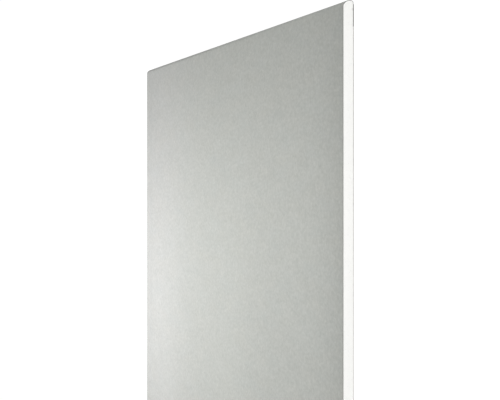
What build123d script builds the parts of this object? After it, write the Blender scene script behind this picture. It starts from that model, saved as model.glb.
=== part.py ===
"""Drywall sheet: a gypsum core between two liner papers, with half-round paper-bound long edges.

The sheet lies flat with its face up. X runs along the length, Y across the width and Z up through
the thickness. The origin is the middle of the back, on the plane that the sheet lies on.

The face paper covers the face, wraps both long edges and folds on to the back. The back paper laps
over those folds, so at the lap the two papers lie one on the other. Both ends are sawn square and
show the core between the papers.
"""

from build123d import *
import os

# Sheet
sheet_length = 2000.0
sheet_width = 1250.0
sheet_thickness = 12.5
paper_thickness = 0.5

# Long edges: the face rounds over in a quarter ellipse, then turns a tight corner on to the back
nose_width = 6.5
back_corner_radius = 3.5

# Back: how far the fold reaches in from the long edge, and how much of it the back paper leaves bare
fold_width = 30.0
bare_fold_width = 5.0

# Worked out from the sizes above
half_width = sheet_width / 2
half_length = sheet_length / 2
fold_level = paper_thickness
apex_level = fold_level + back_corner_radius
nose_height = sheet_thickness - apex_level
between_folds = sheet_width - 2 * fold_width


def wrapped_outline(depth):
    """Draws the outline of the wrapped board, at a depth below the face paper's outer surface."""
    nose_centre = (half_width - nose_width, apex_level)
    corner_centre = (half_width - back_corner_radius, apex_level)
    nose = EllipticalCenterArc(nose_centre, nose_width - depth, nose_height - depth, arc_size=90)
    corner = CenterArc(corner_centre, back_corner_radius - depth, start_angle=0, arc_size=-90)
    Line(nose @ 1, (0, sheet_thickness - depth))
    Line(corner @ 1, (0, fold_level + depth))
    mirror(about=Plane.YZ)


def strip_between_folds(mode):
    """Adds or cuts the strip of section between the two folds, one paper thick."""
    with Locations((0, fold_level)):
        Rectangle(between_folds, paper_thickness, align=(Align.CENTER, Align.MIN), mode=mode)


# Core: fills the wrap, and reaches down between the folds to meet the back paper
with BuildPart() as gypsum_core:
    with BuildSketch(Plane.YZ):
        with BuildLine():
            wrapped_outline(paper_thickness)
        make_face()
        strip_between_folds(Mode.ADD)
    extrude(amount=half_length, both=True)
gypsum_core.part.label = "gypsum_core"

# Face paper: the skin over the core, open on the back between the two folds
with BuildPart() as face_paper:
    with BuildSketch(Plane.YZ):
        with BuildLine():
            wrapped_outline(0)
        make_face()
        with BuildLine():
            wrapped_outline(paper_thickness)
        make_face(mode=Mode.SUBTRACT)
        strip_between_folds(Mode.SUBTRACT)
    extrude(amount=half_length, both=True)
face_paper.part.label = "face_paper"

# Back paper: lies on the core and over the folds, and carries the sheet on the floor
with BuildPart() as back_paper:
    with BuildSketch(Plane.XY):
        Rectangle(sheet_length, sheet_width - 2 * bare_fold_width)
    extrude(amount=paper_thickness)
back_paper.part.label = "back_paper"

os.makedirs("parts", exist_ok=True)
for piece in (gypsum_core.part, face_paper.part, back_paper.part):
    export_step(piece, f"parts/{piece.label}.step")
    print(piece.label, "volume", round(piece.volume), "mm3, valid", piece.is_valid)
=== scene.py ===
# %% [markdown]
# # A drywall sheet
# A drywall sheet is a slab of gypsum plaster, cast between two liner papers. The face paper wraps round
# both long edges and folds on to the back, and the back paper laps over the folds. The two ends are sawn,
# so they show the white core with a thin grey line of paper on each side.
#
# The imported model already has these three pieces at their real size. This lesson gives each of them the
# surface that a hand would feel: pitted plaster, paper with a frayed cut, and a finish for each.

# %% Load the frame
import math

import bmesh
import bpy
import numpy as np
from mathutils import Matrix, Vector


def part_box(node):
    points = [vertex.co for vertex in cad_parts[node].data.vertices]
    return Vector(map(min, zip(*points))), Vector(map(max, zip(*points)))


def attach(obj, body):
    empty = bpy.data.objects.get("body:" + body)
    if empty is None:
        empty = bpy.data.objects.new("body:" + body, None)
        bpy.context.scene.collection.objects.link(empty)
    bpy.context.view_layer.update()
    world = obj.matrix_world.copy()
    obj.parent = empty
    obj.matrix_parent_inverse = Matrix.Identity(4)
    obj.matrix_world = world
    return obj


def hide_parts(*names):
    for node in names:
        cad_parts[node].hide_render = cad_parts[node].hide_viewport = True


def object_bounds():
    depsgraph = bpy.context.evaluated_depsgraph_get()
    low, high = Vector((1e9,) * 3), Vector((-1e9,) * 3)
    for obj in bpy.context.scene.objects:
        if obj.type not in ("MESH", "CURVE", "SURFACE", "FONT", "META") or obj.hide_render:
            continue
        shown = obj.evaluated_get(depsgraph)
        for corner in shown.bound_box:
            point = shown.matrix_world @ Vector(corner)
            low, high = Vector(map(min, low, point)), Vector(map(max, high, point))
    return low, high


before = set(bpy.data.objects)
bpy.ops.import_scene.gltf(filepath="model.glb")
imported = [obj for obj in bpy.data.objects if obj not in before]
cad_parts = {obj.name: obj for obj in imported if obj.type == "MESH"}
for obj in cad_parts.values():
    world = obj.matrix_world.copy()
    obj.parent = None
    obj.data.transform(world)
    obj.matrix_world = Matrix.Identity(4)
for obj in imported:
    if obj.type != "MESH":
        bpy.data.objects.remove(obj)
cad_low, cad_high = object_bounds()
print("nodes", sorted(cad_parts), "box", cad_low[:], cad_high[:])

# %% [markdown]
# ## Sizes
# Every size that the frame can tell is read from it, so that the looks follow the model. Only the shape of
# the rounded edge and the width of the fold are written here, because a box can't tell them.
# Everything is in metres.

# %% Sizes from the frame
MILLIMETRE = 0.001

core_low, core_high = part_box("gypsum_core")
back_low, back_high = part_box("back_paper")
fold_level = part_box("face_paper")[0].z

length = cad_high.x - cad_low.x
width = cad_high.y - cad_low.y
thickness = cad_high.z - cad_low.z
paper_thickness = back_high.z - back_low.z
half_length = length / 2
half_width = width / 2
print("sheet", round(length, 4), round(width, 4), round(thickness, 5), "paper", round(paper_thickness, 5))

# %% Sizes of the rounded edge and the fold
nose_width = 6.5 * MILLIMETRE
back_corner_radius = 3.5 * MILLIMETRE
fold_width = 30.0 * MILLIMETRE

apex_level = fold_level + back_corner_radius
half_between_folds = half_width - fold_width
print("tip of the edge at level", round(apex_level, 5))

# %% [markdown]
# ## Node maths as expressions
# Materials and geometry trees are both made of nodes, and most of those nodes are plain arithmetic. Linking
# them by hand is slow to write and slower to read. So one small class wraps a socket: adding or multiplying
# two wires adds the Math node for it, and `add` makes any other node.

# %% A wire
def find_socket(sockets, key):
    """A socket by its place in the list, its identifier or its name."""
    if isinstance(key, int):
        return sockets[key]
    return next(socket for socket in sockets if key in (socket.identifier, socket.name))


class Wire:
    """One socket of a node tree. Arithmetic on wires adds Math nodes, and add() makes any other node."""

    def __init__(self, tree, socket=None):
        self.tree = tree
        self.socket = socket

    def add(self, kind, settings=None, values=None, out=0):
        """Adds a node: first its settings, then a value, a wire or a list of wires for each input."""
        node = self.tree.nodes.new(kind)
        for name, value in (settings or {}).items():
            setattr(node, name, value)
        for name, value in (values or {}).items():
            socket = find_socket(node.inputs, name)
            for item in value if isinstance(value, list) else [value]:
                if isinstance(item, Wire):
                    self.tree.links.new(item.socket, socket)
                else:
                    socket.default_value = item
        return Wire(self.tree, find_socket(node.outputs, out)) if node.outputs else None

    def also(self, out):
        """Another output of the node that this wire comes from."""
        return Wire(self.tree, find_socket(self.socket.node.outputs, out))

    def math(self, operation, *operands):
        """A Math node with these wires or numbers as its inputs."""
        return self.add("ShaderNodeMath", {"operation": operation}, dict(enumerate(operands)))

    def __add__(self, other):
        return self.math("ADD", self, other)

    def __radd__(self, other):
        return self.math("ADD", other, self)

    def __sub__(self, other):
        return self.math("SUBTRACT", self, other)

    def __rsub__(self, other):
        return self.math("SUBTRACT", other, self)

    def __mul__(self, other):
        return self.math("MULTIPLY", self, other)

    def __rmul__(self, other):
        return self.math("MULTIPLY", other, self)

    def __truediv__(self, other):
        return self.math("DIVIDE", self, other)

    def __rtruediv__(self, other):
        return self.math("DIVIDE", other, self)

    def __pow__(self, other):
        return self.math("POWER", self, other)

    def __abs__(self):
        return self.math("ABSOLUTE", self)

# %% [markdown]
# ## Noise that has a size
# A liner paper and a plaster core are uneven in many ways, and each way has a size of its own: fibres,
# clouds, chalk. So the noise below is asked for by the size of its features in metres. It is stretched along
# the sheet where the making of the paper stretches it: on the paper machine, fibres settle along the web.

# %% Noise by size
def stretched(where, along=1, across=1):
    """Coordinates in which a pattern comes out this many times as long along the sheet or across it."""
    squeeze = (1 / along, 1 / across, 1)
    return where.add("ShaderNodeVectorMath", {"operation": "MULTIPLY"}, {0: where, 1: squeeze})


def clouds(where, size, detail, seed):
    """Smooth noise from 0 to 1, with features about this size."""
    values = {"Vector": where, "W": seed, "Scale": 1 / size, "Detail": detail}
    return where.add("ShaderNodeTexNoise", {"noise_dimensions": "4D"}, values)


def unevenness(where, size, detail, seed):
    """The same noise around 0, so that it changes what it is added to but not the average."""
    return clouds(where, size, detail, seed) - 0.5

# %% Masks and places
def ramp(value, low, high):
    """0 up to low, 1 from high on, and smooth between them."""
    values = {"Value": value, "From Min": low, "From Max": high}
    return value.add("ShaderNodeMapRange", {"interpolation_type": "SMOOTHSTEP"}, values)


def axis(where, name):
    """The X, Y or Z of a place."""
    return where.add("ShaderNodeSeparateXYZ", values={"Vector": where}, out=name)

# %% [markdown]
# ## From a colour to a finish
# A finish here is a colour, made uneven by noise, with a little relief. The Principled shader could take a
# plain colour as it is, but paper and plaster are told apart by how they vary. A Math node would turn a
# colour grey, so colours go through Mix and Vector Math nodes.

# %% Start and end of a finish
def bare_wire(owner):
    """Empties the node tree of a material or a world, and returns a wire to add its first node with."""
    owner.use_nodes = True
    owner.node_tree.nodes.clear()
    return Wire(owner.node_tree)


def new_finish(name):
    """A new material, and the wire of the place on the piece."""
    finish = bpy.data.materials.new(name)
    return finish, bare_wire(finish).add("ShaderNodeTexCoord", out="Object")


def end_finish(finish, colour, roughness, specular, bump):
    """Ends a material in a Principled shader, and returns it."""
    values = {"Base Color": colour, "Roughness": roughness, "Specular IOR Level": specular, "Normal": bump}
    shader = colour.add("ShaderNodeBsdfPrincipled", values=values)
    shader.add("ShaderNodeOutputMaterial", values={"Surface": shader})
    print("finish", finish.name, len(finish.node_tree.nodes), "nodes")
    return finish

# %% Colours and relief
def blend_colours(share, first, second):
    """The first colour where the share is 0, and the second where it is 1."""
    values = {"Factor_Float": share, "A_Color": first, "B_Color": second}
    return share.add("ShaderNodeMix", {"data_type": "RGBA"}, values, out="Result_Color")


def dim(colour, share):
    """A colour times a share."""
    values = {"Vector": colour, "Scale": share}
    return colour.add("ShaderNodeVectorMath", {"operation": "SCALE"}, values, out="Vector")


def relief(height, depth, strength):
    """A bump. Its height counts in depths, a depth is in metres, and the strength softens the whole."""
    values = {"Height": height, "Distance": depth, "Strength": strength}
    return height.add("ShaderNodeBump", values=values)

# %% [markdown]
# ## Face paper
# The face liner is a pressed grey-green paper. Close to, it has a fine grain. From further off, its fibres
# and flocs show as short streaks along the sheet, with faint clouds where the pulp lay thicker. One noise
# could not hold all these sizes, so each has its own. Where the saw went through it, the cut shows the
# paper's darker inside, and hands have greyed the last few millimetres beside it.

# %% The saw cut
cut_near = 0.25 * MILLIMETRE
cut_far = 0.5 * MILLIMETRE
cut_share = 0.6


def beside_end(where, near, far):
    """A mask that is 1 up to a distance from the nearer sawn end, and fades to 0 at a larger one."""
    from_end = half_length - abs(axis(where, "X"))
    return 1 - ramp(from_end, near, far)


print("a paper's dark inside shows up to", cut_far, "from the end")

# %% Grain and colour of the face paper
face_fibre_stretch = 3
face_floc_stretch = 7
face_grain_size = 0.6 * MILLIMETRE
face_fibre_size = 3.4 * MILLIMETRE
face_floc_size = 5.0 * MILLIMETRE
face_mottle_size = 18 * MILLIMETRE
face_grain_share = 0.3
face_fibre_share = 0.35
face_floc_share = 0.08
face_mottle_share = 0.08
face_warm = (0.405, 0.411, 0.380, 1)
face_cool = (0.395, 0.411, 0.390, 1)
print("face paper between", face_warm[:3], "and", face_cool[:3])

# %% Wear and feel of the face paper
handled_near = 2 * MILLIMETRE
handled_far = 10 * MILLIMETRE
handled_share = 0.03
face_relief_depth = 0.02 * MILLIMETRE
face_relief_strength = 1.0
face_roughness = 0.8
face_roughness_change = 0.02
face_specular = 0.1
print("face paper greyed by hands up to", handled_far, "from the end")

# %% Face paper finish
def face_paper_finish():
    """Pressed paper with streaks along the sheet."""
    finish, where = new_finish("face_paper")
    in_fibres = stretched(where, along=face_fibre_stretch)
    in_flocs = stretched(where, along=face_floc_stretch)
    grain = unevenness(in_fibres, face_grain_size, detail=3, seed=1)
    fibre = unevenness(in_fibres, face_fibre_size, detail=1, seed=2)
    floc = unevenness(in_flocs, face_floc_size, detail=1, seed=3)
    mottle = unevenness(in_flocs, face_mottle_size, detail=2, seed=4)
    tint = clouds(in_flocs, face_mottle_size, detail=1, seed=5)
    cut = beside_end(where, cut_near, cut_far)
    handled = beside_end(where, handled_near, handled_far)
    streaks = grain * face_grain_share + fibre * face_fibre_share
    pulp = floc * face_floc_share + mottle * face_mottle_share
    wear = (1 - handled * handled_share) * (1 - cut * cut_share)
    colour = dim(blend_colours(tint, face_warm, face_cool), (1 + streaks + pulp) * wear)
    bump = relief(grain + fibre, face_relief_depth, face_relief_strength)
    roughness = face_roughness + mottle * face_roughness_change
    return end_finish(finish, colour, roughness, face_specular, bump)


face_finish = face_paper_finish()

# %% [markdown]
# ## Back paper
# The back liner is made of rougher, recycled pulp. It is duller and browner than the face, and flecks of
# dark fibre show in it. White dust from the saw lies on its cut, and hands have wiped it off near the
# corners. It could be the face's finish with other colours, but the flecks and the dust need masks of their
# own: a noise that shows only at its peaks, and the cut's mask faded across the sheet.

# %% Grain and colour of the back paper
back_stretch = 5
back_grain_size = 1.6 * MILLIMETRE
back_mottle_size = 14 * MILLIMETRE
back_grain_share = 0.4
fleck_size = 1.2 * MILLIMETRE
fleck_low = 0.66
fleck_high = 0.74
fleck_share = 0.25
back_pale = (0.44, 0.42, 0.38, 1)
back_dark = (0.40, 0.38, 0.34, 1)
print("back paper between", back_pale[:3], "and", back_dark[:3])

# %% Dust and feel of the back paper
gypsum_pale = (0.89, 0.89, 0.87, 1)
dust_share = 0.4
wiped_from = 0.3 * half_width
wiped_to = 0.95 * half_width
back_grain_height_share = 0.7
back_mottle_height_share = 0.3
back_relief_depth = 0.3 * MILLIMETRE
back_relief_strength = 0.3
back_roughness = 0.85
back_roughness_change = 0.2
back_specular = 0.2
print("dust on the back paper's cut fades from", round(wiped_from, 3), "to", round(wiped_to, 3))

# %% Back paper finish
def back_paper_finish():
    """Rough paper with dark flecks, and dust on its cut."""
    finish, where = new_finish("back_paper")
    in_fibres = stretched(where, along=back_stretch)
    grain = unevenness(in_fibres, back_grain_size, detail=3, seed=11)
    mottle = clouds(in_fibres, back_mottle_size, detail=3, seed=12)
    fleck = ramp(clouds(in_fibres, fleck_size, detail=1, seed=13), fleck_low, fleck_high)
    cut = beside_end(where, cut_near, cut_far)
    shade = 1 + grain * back_grain_share - fleck * fleck_share
    paper = dim(blend_colours(mottle, back_pale, back_dark), shade * (1 - cut * cut_share))
    wiped = ramp(abs(axis(where, "Y")), wiped_from, wiped_to)
    colour = blend_colours(cut * (1 - wiped) * dust_share, paper, gypsum_pale)
    height = grain * back_grain_height_share + mottle * back_mottle_height_share
    bump = relief(height, back_relief_depth, back_relief_strength)
    roughness = back_roughness + grain * back_roughness_change
    return end_finish(finish, colour, roughness, back_specular, bump)


back_finish = back_paper_finish()

# %% [markdown]
# ## Gypsum
# The core is set plaster, foamed to make it light. A saw leaves it chalky and nearly white. The largest
# bubbles are cut into the mesh further on. The many small ones, of two sizes, could be cut there too, but
# the mesh would grow heavy. So they are drawn here as dots of painted shade with a little relief, and
# crooked coordinates keep them from looking like drilled holes. At the rounded edge, the rim of the core
# just under the wrap is darkened with painted shade.

# %% Bubbles
def bubbles(where, spacing, inner_share, outer_share, seed):
    """Scattered round spots: 1 inside them and 0 between them. Their radii are shares of the spacing."""
    values = {"Vector": where, "W": seed, "Scale": 1 / spacing}
    distance = where.add("ShaderNodeTexVoronoi", {"voronoi_dimensions": "4D"}, values, out="Distance")
    return 1 - ramp(distance, inner_share, outer_share)


def crooked(where, size, reach, seed):
    """Coordinates in which round shapes come out uneven, by up to about this reach."""
    values = {"Vector": where, "W": seed, "Scale": 1 / size}
    push = where.add("ShaderNodeTexNoise", {"noise_dimensions": "4D"}, values, out="Color")
    values = {0: push, 1: (reach, reach, reach), 2: where}
    return where.add("ShaderNodeVectorMath", {"operation": "MULTIPLY_ADD"}, values)

# %% The rim at the rounded edge
# Painted shade on the core's rim just under the rounded edge: where it starts, where it ends, and how dark
# it is.
rim_near = 0.6 * MILLIMETRE
rim_far = 1.0 * MILLIMETRE
rim_shade_share = 0.6
rounding_low_share = 0.1
rounding_high_share = 0.4


def painted_rim_shade(where):
    """A mask of painted shade: 1 on the core's rim along a rounded edge."""
    y = axis(where, "Y")
    z = axis(where, "Z")
    out = y.math("MAXIMUM", abs(y) - (half_width - nose_width), 0) / nose_width
    up = z.math("MAXIMUM", z - apex_level, 0) / (thickness - apex_level)
    depth = (1 - (out ** 2 + up ** 2) ** 0.5) * nose_width
    return (1 - ramp(depth, rim_near, rim_far)) * ramp(out, rounding_low_share, rounding_high_share)


print("the rim's grey reaches", rim_far, "under the outside of the edge")

# %% Chalk and colour of the gypsum
gypsum_grey = (0.87, 0.87, 0.85, 1)
chalk_size = 1.5 * MILLIMETRE
chalk_share = 0.06
patch_size = 12 * MILLIMETRE
crook_size = 0.5 * MILLIMETRE
crook_reach = 0.4 * MILLIMETRE
pore_spacing = 2.2 * MILLIMETRE
pore_inner_share = 0.10
pore_outer_share = 0.24
# Pores and specks are small bubbles, and how dark each is drawn is painted shade in the hole.
pore_shade_share = 0.16
speck_spacing = 0.9 * MILLIMETRE
speck_inner_share = 0.12
speck_outer_share = 0.28
speck_shade_share = 0.10
print("gypsum between", gypsum_pale[:3], "and", gypsum_grey[:3])

# %% Feel of the gypsum
chalk_height_share = 0.5
pore_height_share = 0.4
speck_height_share = 0.2
gypsum_relief_depth = 0.3 * MILLIMETRE
gypsum_relief_strength = 0.3
gypsum_roughness = 0.92
gypsum_specular = 0.2
print("small pores up to", round(2 * pore_outer_share * pore_spacing, 5), "wide")

# %% Gypsum finish
def gypsum_finish():
    """Chalky plaster with small pores, with painted shade in the pores and at the rim of the rounded edge.
    """
    finish, where = new_finish("gypsum")
    chalk = unevenness(where, chalk_size, detail=4, seed=21)
    patch = clouds(where, patch_size, detail=2, seed=22)
    askew = crooked(where, crook_size, crook_reach, seed=23)
    pore = bubbles(askew, pore_spacing, pore_inner_share, pore_outer_share, seed=24)
    speck = bubbles(askew, speck_spacing, speck_inner_share, speck_outer_share, seed=25)
    # The chalk is the plaster's own tone. The pores and specks darken it as painted shade.
    shade = 1 + chalk * chalk_share - pore * pore_shade_share - speck * speck_shade_share
    plaster = blend_colours(patch, gypsum_pale, gypsum_grey)
    colour = dim(plaster, shade * (1 - painted_rim_shade(where) * rim_shade_share))
    height = chalk * chalk_height_share - pore * pore_height_share - speck * speck_height_share
    bump = relief(height, gypsum_relief_depth, gypsum_relief_strength)
    return end_finish(finish, colour, gypsum_roughness, gypsum_specular, bump)


core_finish = gypsum_finish()

# %% [markdown]
# ## Growing pieces with Geometry Nodes
# A sheet of paper that follows a path, or a surface that is pitted all over, is a rule and not a drawing.
# Geometry Nodes hold such rules. Each tree below has named inputs for its sizes. What it makes is turned
# into a plain mesh, so nothing is left on the piece but its own faces.

# %% Start and end of a tree
socket_types = {"size": "NodeSocketFloat", "count": "NodeSocketInt", "finish": "NodeSocketMaterial"}
crease_angle = math.radians(40)


def new_tree(name, **inputs):
    """A geometry tree with these named inputs, and the wire of the geometry that goes into it."""
    tree = bpy.data.node_groups.new(name, "GeometryNodeTree")
    tree.interface.new_socket("Geometry", in_out="INPUT", socket_type="NodeSocketGeometry")
    for label, kind in inputs.items():
        tree.interface.new_socket(label, in_out="INPUT", socket_type=socket_types[kind])
    tree.interface.new_socket("Geometry", in_out="OUTPUT", socket_type="NodeSocketGeometry")
    return tree, Wire(tree).add("NodeGroupInput", out="Geometry")


def end_tree(geometry, finish):
    """Ends a geometry tree in plain faces, smooth but for their sharp edges, with one finish."""
    plain = geometry.add("GeometryNodeRealizeInstances", values={"Geometry": geometry})
    smooth = plain.add("GeometryNodeSetShadeSmooth", values={"Geometry": plain, "Shade Smooth": True})
    angle = smooth.add("GeometryNodeInputMeshEdgeAngle", out="Unsigned Angle")
    sharp = angle.math("GREATER_THAN", angle, crease_angle)
    creases = {"Geometry": smooth, "Selection": sharp, "Shade Smooth": False}
    creased = smooth.add("GeometryNodeSetShadeSmooth", {"domain": "EDGE"}, creases)
    dressed = creased.add("GeometryNodeSetMaterial", values={"Geometry": creased, "Material": finish})
    dressed.add("NodeGroupOutput", values={"Geometry": dressed})

# %% Run a tree
def grow(name, stock, tree, **inputs):
    """Runs a geometry tree on a mesh, and returns what it makes as an object with a plain mesh."""
    source = bpy.data.objects.new(name + "_stock", stock)
    bpy.context.scene.collection.objects.link(source)
    modifier = source.modifiers.new(tree.name, "NODES")
    modifier.node_group = tree
    for item in tree.interface.items_tree:
        if item.in_out == "INPUT" and item.name in inputs:
            modifier[item.identifier] = inputs[item.name]
    depsgraph = bpy.context.evaluated_depsgraph_get()
    grown = bpy.data.meshes.new_from_object(source.evaluated_get(depsgraph), depsgraph=depsgraph)
    bpy.data.objects.remove(source)
    bpy.data.meshes.remove(stock)
    grown.name = name
    piece = bpy.data.objects.new(name, grown)
    bpy.context.scene.collection.objects.link(piece)
    print(name, len(grown.vertices), "points", len(grown.polygons), "faces")
    return piece

# %% [markdown]
# ## The section
# All pieces share one section across the sheet. The upper side of each long edge is a quarter of an
# ellipse, and its lower side is a tight quarter circle. The core has the same section, one paper further in.
# Both curves could be picked from the model's faces, but a formula gives them with as many points as a piece
# needs, at any depth.

# %% The section
curve_points = 25
turns = np.linspace(0, math.pi / 2, curve_points)


def nose(depth):
    """The right edge's ellipse, from the face to the tip, at a depth under the outside: its ys and zs."""
    ys = half_width - nose_width + (nose_width - depth) * np.sin(turns)
    zs = apex_level + (thickness - apex_level - depth) * np.cos(turns)
    return ys, zs


def back_corner(depth):
    """The right edge's lower corner, from the tip to the back, at a depth: its ys and zs."""
    ys = half_width - back_corner_radius + (back_corner_radius - depth) * np.cos(turns)
    zs = apex_level - (back_corner_radius - depth) * np.sin(turns)
    return ys, zs


print("edge: starts", nose(0)[0][0], "tip", nose(0)[0][-1], "foot", back_corner(0)[0][-1])

# %% [markdown]
# ## The core
# The core could stay the plain solid of the model, but its sawn ends are what the eye goes to. A saw leaves
# faint drag lines along its cut, and it opens the bubbles of the foam. So each end becomes a fine grid of
# points, which the tree then pushes in: a little for the drag lines, more for the bubbles.

# %% The core's columns
cell = 0.65 * MILLIMETRE
step_width = 0.05 * MILLIMETRE


def core_columns():
    """Places across the core, closer at the tips and the folds, with its lower and upper level at each."""
    tip_ys, tip_zs = nose(paper_thickness)
    even_ys = np.linspace(-tip_ys[0], tip_ys[0], round(2 * tip_ys[0] / cell) + 1)
    step_ys = np.array([half_between_folds - step_width, half_between_folds])
    flat_ys = np.sort(np.concatenate([even_ys, step_ys, -step_ys]))
    ys = np.concatenate([-tip_ys[:0:-1], flat_ys, tip_ys[1:]])
    tops = np.concatenate([tip_zs[:0:-1], np.full(len(flat_ys), core_high.z), tip_zs[1:]])
    lows = np.where(abs(ys) < half_between_folds, core_low.z, fold_level + paper_thickness)
    foot_ys, foot_zs = back_corner(paper_thickness)
    lows = np.where(abs(ys) > foot_ys[-1], np.interp(abs(ys), foot_ys[::-1], foot_zs[::-1]), lows)
    return ys, lows, tops


core_ys, core_lows, core_tops = core_columns()
core_heights = core_tops - core_lows
thickest = round(core_heights.max(), 5)
print("core columns", len(core_ys), "thickest", thickest, "at the tip", round(core_heights[-1], 6))

# %% The core's blank
weld_reach = 0.01 * MILLIMETRE


def grid_faces(index):
    """Four-sided faces between the neighbours in a table of point numbers."""
    corners = [index[:-1, :-1], index[1:, :-1], index[1:, 1:], index[:-1, 1:]]
    return np.stack(corners, axis=-1).reshape(-1, 4)


def core_blank():
    """A closed mesh of the core, with a grid of small faces on both ends."""
    rows = round((core_high.z - core_low.z) / cell) + 1
    zs = core_lows[:, None] + core_heights[:, None] * np.linspace(0, 1, rows)
    end = np.stack([np.zeros(zs.shape), np.broadcast_to(core_ys[:, None], zs.shape), zs], axis=-1)
    points = np.stack([end - (half_length, 0, 0), end + (half_length, 0, 0)])
    index = np.arange(points.size // 3).reshape(points.shape[:3])
    walls = [grid_faces(index[:, :, row]) for row in (0, rows - 1)]
    faces = np.concatenate([grid_faces(index[0]), grid_faces(index[1]), *walls])
    blank = bpy.data.meshes.new("core_blank")
    blank.from_pydata(points.reshape(-1, 3).tolist(), [], faces.tolist())
    draft = bmesh.new()
    draft.from_mesh(blank)
    bmesh.ops.remove_doubles(draft, verts=draft.verts, dist=weld_reach)
    bmesh.ops.recalc_face_normals(draft, faces=draft.faces)
    draft.to_mesh(blank)
    draft.free()
    return blank


blank_core = core_blank()
print("blank core", len(blank_core.vertices), "points", len(blank_core.polygons), "faces")

# %% What the saw does
drag_stretch = 12
drag_size = 1.4 * MILLIMETRE
drag_depth = 0.12 * MILLIMETRE
crumb_size = 3 * MILLIMETRE
crumb_depth = 0.2 * MILLIMETRE
pit_spacing = 5 * MILLIMETRE
pit_inner_share = 0.06
pit_outer_share = 0.22
pit_depth = 0.6 * MILLIMETRE
print("relief of the sawn ends is at most", round(drag_depth + crumb_depth + pit_depth, 5), "deep")

# %% The sawn ends
def sawn_ends_tree():
    """Pushes the points of both ends into the core, for the saw's drag lines and for cut bubbles."""
    tree, blank = new_tree(
        "sawn_ends", Inside="size", Drag="size", Crumb="size", Pit="size", Spacing="size", Finish="finish"
    )
    where = blank.add("GeometryNodeInputPosition")
    x = axis(where, "X")
    on_end = x.math("GREATER_THAN", abs(x), blank.also("Inside"))
    drag = clouds(stretched(where, across=drag_stretch), drag_size, detail=2, seed=31)
    crumb = clouds(where, crumb_size, detail=3, seed=32)
    pit = bubbles(where, blank.also("Spacing"), pit_inner_share, pit_outer_share, seed=33)
    push = drag * blank.also("Drag") + crumb * blank.also("Crumb") + pit * blank.also("Pit")
    inwards = x.add("ShaderNodeCombineXYZ", values={"X": push * on_end * x.math("SIGN", x) * -1})
    sawn = blank.add("GeometryNodeSetPosition", values={"Geometry": blank, "Offset": inwards})
    end_tree(sawn, blank.also("Finish"))
    return tree


core = grow(
    "sawn_core", blank_core, sawn_ends_tree(), Inside=half_length - cell, Drag=drag_depth,
    Crumb=crumb_depth, Pit=pit_depth, Spacing=pit_spacing, Finish=core_finish,
)

# %% [markdown]
# ## The papers
# Both liners are one rule: a sheet of paper that follows a path across the section and runs the length of
# the board. The path could be swept with Curve to Mesh, but a grid whose points are sent to places along the
# path keeps its columns even. Its rows come close together at the ends, where the saw has frayed the paper.

# %% The papers' paths
def polyline(name, ys, zs):
    """A mesh of points joined in a row, across the sheet."""
    line = bpy.data.meshes.new(name)
    points = [(0, y, z) for y, z in zip(ys, zs)]
    line.from_pydata(points, [(i, i + 1) for i in range(len(points) - 1)], [])
    print(name, len(points), "points")
    return line


def face_path():
    """The outside of the face paper, from one fold's edge on the back over the face to the other's."""
    nose_ys, nose_zs = nose(0)
    foot_ys, foot_zs = back_corner(0)
    right_ys = np.concatenate([nose_ys, foot_ys[1:], [half_between_folds]])
    right_zs = np.concatenate([nose_zs, foot_zs[1:], [fold_level]])
    return polyline("face_path", [*right_ys[::-1], *-right_ys], [*right_zs[::-1], *right_zs])


face_line = face_path()
back_line = polyline("back_path", [back_low.y, back_high.y], [back_low.z, back_low.z])

# %% How a liner is cut
liner_rows = 13
liner_column = 0.8 * MILLIMETRE
crowd_power = 4
fray_power = 40
fray_size = 1.6 * MILLIMETRE
fray_depth = 0.3 * MILLIMETRE
face_columns = round((width + 2 * fold_width) / liner_column)
back_columns = round(width / liner_column)
print("liner columns", face_columns, "on the face", back_columns, "on the back")

# %% A liner paper
def liner_tree():
    """A sheet of paper that follows a path: even columns along it, and rows that crowd to the ends."""
    tree, line = new_tree(
        "liner", Reach="size", Paper="size", Columns="count", Rows="count", Fray="size", Finish="finish"
    )
    path = line.add("GeometryNodeMeshToCurve", values={"Mesh": line})
    counts = {"Vertices X": line.also("Columns"), "Vertices Y": line.also("Rows")}
    grid = line.add("GeometryNodeMeshGrid", values={"Size X": 1.0, "Size Y": 1.0, **counts}, out="Mesh")
    # The grid is one unit wide and long, around 0. Its X becomes a share of the path, and its Y a run
    # from -1 at one sawn end to 1 at the other.
    in_grid = line.add("GeometryNodeInputPosition")
    path_share = axis(in_grid, "X") + 0.5
    run = axis(in_grid, "Y") * 2
    side = run.math("SIGN", run)
    crowded = (1 - (1 - abs(run)) ** crowd_power) * side
    sample = {"Curves": path, "Factor": path_share}
    on_path = line.add("GeometryNodeSampleCurve", values=sample, out="Position")
    ragged = clouds(on_path, fray_size, detail=3, seed=41)
    fray = abs(run) ** fray_power * ragged * line.also("Fray") * side
    x = crowded * line.also("Reach") - fray
    across = {"Y": axis(on_path, "Y"), "Z": axis(on_path, "Z")}
    place = line.add("ShaderNodeCombineXYZ", values={"X": x, **across})
    skin = line.add("GeometryNodeSetPosition", values={"Geometry": grid, "Position": place})
    depth = {"Mesh": skin, "Offset Scale": line.also("Paper") * -1, "Individual": False}
    inside = skin.add("GeometryNodeExtrudeMesh", values=depth, out="Mesh")
    lining = inside.add("GeometryNodeFlipFaces", values={"Mesh": inside})
    shell = skin.add("GeometryNodeJoinGeometry", values={"Geometry": [skin, lining]})
    weld = {"Geometry": shell, "Distance": weld_reach}
    end_tree(shell.add("GeometryNodeMergeByDistance", values=weld), line.also("Finish"))
    return tree

# %% Both liners
liner = liner_tree()
shared = {"Reach": half_length, "Paper": paper_thickness, "Rows": liner_rows, "Fray": fray_depth}
face = grow("face_liner", face_line, liner, Columns=face_columns, Finish=face_finish, **shared)
back = grow("back_liner", back_line, liner, Columns=back_columns, Finish=back_finish, **shared)
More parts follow.
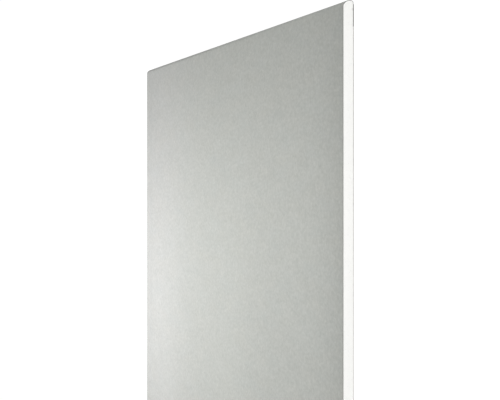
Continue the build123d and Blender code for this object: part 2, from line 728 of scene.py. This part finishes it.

# %% [markdown]
# ## Hanging the pieces on the frame
# The sheet is one stiff board, so each new piece rides on its one body. A piece could lie over the model's
# plain solid, but the two would flicker through each other. So each piece stands for the solid it covers.

# %% Hang the pieces on their body
for piece, node, slot in (
    (core, "gypsum_core", "gypsum"),
    (face, "face_paper", "face_paper"),
    (back, "back_paper", "back_paper"),
):
    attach(piece, "root")
    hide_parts(node)
    print(piece.name, "stands for", node)

# %% [markdown]
# ## Floor and surroundings
# The sheet lies on a pale floor in a white room. The floor sends light back up as any pale surface does. To
# what looks at it straight, most of its white is a glow, so that it is as white far off as it is under the
# lamps, and the small rest is lit, so that it keeps the sheet's shadow. More light would whiten the floor
# too, but it would bleach the sheet.

# %% What looks straight
def seen_straight(start):
    """1 for a ray from the camera, a reflection or through glass, and 0 for a ray that gathers light."""
    path = start.add("ShaderNodeLightPath", out="Is Camera Ray")
    shiny = path.math("MAXIMUM", path.also("Is Glossy Ray"), path.also("Is Transmission Ray"))
    return path.math("MAXIMUM", path, shiny)

# %% Floor
floor_reach = 40.0
floor_gap = 0.1 * MILLIMETRE
floor_colour = (0.8, 0.8, 0.8, 1)
floor_seen_colour = (0.16, 0.16, 0.16, 1)
floor_glow = 0.96


def floor_finish():
    """A pale floor that glows to what looks at it straight."""
    finish = bpy.data.materials.new("floor")
    seen = seen_straight(bare_wire(finish))
    colour = blend_colours(seen, floor_colour, floor_seen_colour)
    matte = seen.add("ShaderNodeBsdfDiffuse", values={"Color": colour})
    glow = seen.add("ShaderNodeEmission", values={"Strength": seen * floor_glow})
    both = seen.add("ShaderNodeAddShader", values={0: matte, 1: glow})
    both.add("ShaderNodeOutputMaterial", values={"Surface": both})
    return finish


floor_level = cad_low.z - floor_gap
signs = ((-1, -1), (1, -1), (1, 1), (-1, 1))
corners = [(x * floor_reach, y * floor_reach, floor_level) for x, y in signs]
floor_mesh = bpy.data.meshes.new("floor")
floor_mesh.from_pydata(corners, [], [(0, 1, 2, 3)])
floor_mesh.materials.append(floor_finish())
floor = bpy.data.objects.new("floor", floor_mesh)
bpy.context.scene.collection.objects.link(floor)
print("floor at level", round(floor_level, 5))

# %% Room
room_light = 0.4

room = bpy.data.worlds.new("room")
seen = seen_straight(bare_wire(room))
strength = room_light + seen * (1 - room_light)
sky = seen.add("ShaderNodeBackground", values={"Color": (1, 1, 1, 1), "Strength": strength})
sky.add("ShaderNodeOutputWorld", values={"Surface": sky})
bpy.context.scene.world = room
print("room gives", room_light, "of white as light")

# %% [markdown]
# ## Light
# Six soft boxes light the sheet. Four of them face straight down: a wide one hangs over one half, and three
# low ones hang in a row over the other, brightest at the far end, where the light pools. One faces the near
# end, and one beside the sheet picks out the rounded edge. A single large lamp would light the paper evenly
# and lose that pool. The far lamp is a touch rosy, because in its pool the paper looks grey and not green.
# Lamps that overlap hang at different heights, because two in one plane would hide some of each other's
# light. A soft box is given by its brightness, where 1 is the white of the room, because that stays true
# when its size changes.

# %% Soft boxes
white = (1, 1, 1)


def soft_box(name, place, target, size, brightness, tone=white):
    """A rectangular lamp that looks at a target and isn't seen itself."""
    across, along = size
    lamp = bpy.data.lights.new(name, "AREA")
    lamp.shape = "RECTANGLE"
    lamp.size = across
    lamp.size_y = along
    lamp.energy = brightness * math.pi * across * along
    lamp.color = tone
    box = bpy.data.objects.new(name, lamp)
    box.location = place
    box.rotation_mode = "QUATERNION"
    box.rotation_quaternion = (Vector(target) - Vector(place)).to_track_quat("-Z", "Y")
    box.visible_camera = False
    bpy.context.scene.collection.objects.link(box)
    print(name, "at", place, "power", round(lamp.energy, 2))


def hanging_box(name, over, height, size, brightness, tone=white):
    """A soft box that hangs over a place on the sheet and faces straight down."""
    soft_box(name, (*over, height), (*over, 0.0), size, brightness, tone)

# %% The lamps
rosy = (1.0, 0.96, 1.03)
hanging_box("far_lamp", over=(-1.0, 0.28), height=0.4, size=(0.8, 0.36), brightness=2.75, tone=rosy)
hanging_box("middle_lamp", over=(-0.6, 0.2), height=0.32, size=(1.6, 0.3), brightness=0.53)
hanging_box("over_lamp", over=(0.2, 0.35), height=0.3, size=(1.6, 0.3), brightness=1.02)
hanging_box("wide_lamp", over=(0.0, -0.6), height=1.0, size=(2.0, 1.0), brightness=1.7)
soft_box("near_lamp", place=(4.0, 0.6, 0.4), target=(1.0, 0.6, 0.0), size=(2.0, 1.0), brightness=9.4)
soft_box("side_lamp", place=(0.8, 2.2, 0.35), target=(0.8, 0.6, 0.0), size=(2.0, 0.5), brightness=2.8)

# %% [markdown]
# ## Camera
# The sheet is seen along its length, from low over the near end, with its long edge up in the picture. The
# camera could be set by eye, but five readings of the picture fix it: the columns of the near end's two
# edges and of the far end, and the rows of the long edge at both ends. The edge's rows tell how much further
# away the far end is, and the near end's thickness in pixels tells the lens.

# %% Readings of the picture
picture_width, picture_height = 500, 400
near_face_column, near_back_column, far_column = 343.05, 353.85, 147.05
near_edge_row, far_edge_row = -0.08, 69.9

# Places from here on are in pixels to the right of the picture's middle, or up from it.
near_face = near_face_column - picture_width / 2
near_back = near_back_column - picture_width / 2
far_face = far_column - picture_width / 2
near_edge = picture_height / 2 - near_edge_row
far_edge = picture_height / 2 - far_edge_row
shrink = near_edge / far_edge
slant = near_face - shrink * far_face
print("the far end is", round(shrink, 3), "times as far away as the near end")

# %% A viewpoint for each lens
def viewpoint(focal):
    """For a focal length in pixels: how far the near end is, and how much the view looks down and along."""
    distance = length / math.hypot(slant / focal, shrink - 1)
    return distance, slant * distance / (focal * length), (shrink - 1) * distance / length


def thickness_error(focal):
    """How far the near end's back comes out from its column."""
    distance, down, forward = viewpoint(focal)
    return (near_face * distance + focal * thickness * forward) / (distance + thickness * down) - near_back

# %% Solve for the lens
short_focal = 500.0
long_focal = 20000.0
halvings = 60

for halving in range(halvings):
    focal = (short_focal + long_focal) / 2
    if thickness_error(focal) < 0:
        short_focal = focal
    else:
        long_focal = focal

print("focal length", round(focal, 1), "pixels")

# %% Place the camera
distance, down, forward = viewpoint(focal)
right = Vector((down, 0, -forward))
up = Vector((0, 1, 0))
backward = right.cross(up)
near_corner = Vector((half_length, half_width, thickness))
offset = right * near_face + up * near_edge
place = near_corner - offset * distance / focal + backward * distance

lens = bpy.data.cameras.new("camera")
lens.lens = focal * lens.sensor_width / picture_width
camera = bpy.data.objects.new("camera", lens)
camera.matrix_world = Matrix.Translation(place) @ Matrix((right, up, backward)).transposed().to_4x4()
bpy.context.scene.collection.objects.link(camera)
bpy.context.scene.camera = camera
print("camera", [round(v, 3) for v in camera.matrix_world.translation], "lens", round(lens.lens, 1))

# %% [markdown]
# ## Finish
# The picture is shown as it is, with no film look.

# %% Show the picture as it is
bpy.context.scene.view_settings.view_transform = "Standard"
